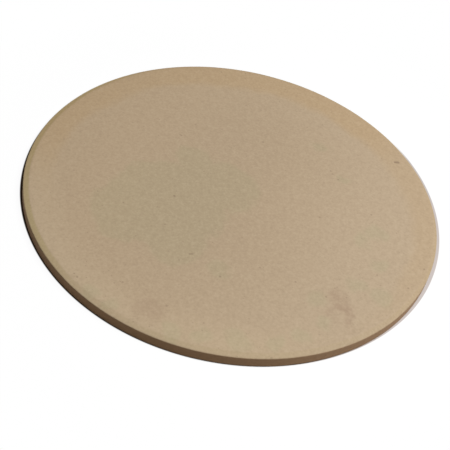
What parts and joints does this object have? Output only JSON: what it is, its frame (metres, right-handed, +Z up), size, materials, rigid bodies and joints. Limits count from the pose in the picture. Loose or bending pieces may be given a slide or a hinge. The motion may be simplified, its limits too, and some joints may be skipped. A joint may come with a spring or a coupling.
{
  "type": "pizza stone",
  "caption": "Round flat baking stone of fired cordierite: a plain disc with a level baking face, a narrow bevel all round it, an upright wall and a flat underside.",
  "frame": {"origin": "centre of the underside", "axes": "+Z up, square to the baking face; -Y towards the side that the picture shows nearest"},
  "size_m": [0.33, 0.33, 0.01],
  "materials": {
    "fired_cordierite": "unglazed fired ceramic, matt, tan, with a fine sandy grain"
  },
  "bodies": {
    "root": {"baking_stone": "fired_cordierite"}
  },
  "joints": []
}
